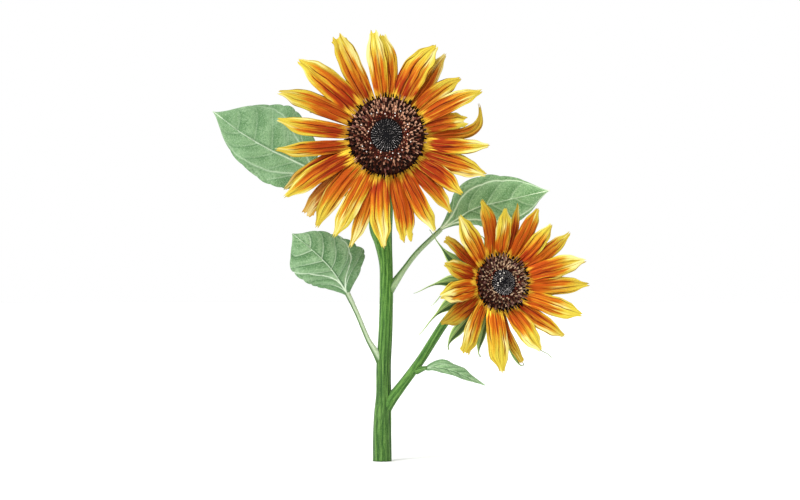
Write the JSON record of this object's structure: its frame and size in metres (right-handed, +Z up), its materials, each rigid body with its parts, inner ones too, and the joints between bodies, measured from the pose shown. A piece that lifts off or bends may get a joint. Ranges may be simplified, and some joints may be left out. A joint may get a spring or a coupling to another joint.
{
  "type": "sunflower plant",
  "caption": "Branching sunflower plant with open orange and yellow heads, dark discs and broad green leaves, cut flat at ground level.",
  "frame": {"origin": "middle of the flat cut under the main stem, at ground level", "axes": "+Z up along the main stem, -Y the way the heads face, +X towards the side stem"},
  "size_m": [0.2862, 0.1117, 0.325],
  "materials": {
    "stem": "matte, ribbed, downy green",
    "cup": "matte green bracts and receptacle",
    "leaf": "matte grey-green blade with pale veins",
    "ray": "satin petals, red-orange at the foot and yellow at the tip, with dark veins",
    "florets": "matte dark brown florets with tan tips",
    "button": "matte blue-black unopened florets"
  },
  "bodies": {
    "root": {"main_stem": "stem", "side_stem": "stem", "upper_left_leaf": "leaf", "lower_left_leaf": "leaf", "upper_right_leaf": "leaf", "side_stem_leaf": "leaf", "top_head_cup": "cup", "top_head_floret_ring": "florets", "top_head_button": "button", "top_ray_01": "ray", "top_ray_02": "ray", "top_ray_03": "ray", "top_ray_04": "ray", "top_ray_05": "ray", "top_ray_06": "ray", "top_ray_07": "ray", "top_ray_08": "ray", "top_ray_09": "ray", "top_ray_10": "ray", "top_ray_11": "ray", "top_ray_12": "ray", "top_ray_13": "ray", "top_ray_14": "ray", "top_ray_15": "ray", "top_ray_16": "ray", "top_ray_17": "ray", "top_ray_18": "ray", "top_ray_19": "ray", "top_ray_20": "ray", "top_ray_21": "ray", "top_ray_22": "ray", "top_ray_23": "ray", "top_ray_24": "ray", "top_ray_25": "ray", "top_ray_26": "ray", "top_ray_27": "ray", "side_head_cup": "cup", "side_head_floret_ring": "florets", "side_head_button": "button", "side_ray_01": "ray", "side_ray_02": "ray", "side_ray_03": "ray", "side_ray_04": "ray", "side_ray_05": "ray", "side_ray_06": "ray", "side_ray_07": "ray", "side_ray_08": "ray", "side_ray_09": "ray", "side_ray_10": "ray", "side_ray_11": "ray", "side_ray_12": "ray", "side_ray_13": "ray", "side_ray_14": "ray", "side_ray_15": "ray", "side_ray_16": "ray", "side_ray_17": "ray", "side_ray_18": "ray", "side_ray_19": "ray"}
  },
  "joints": []
}
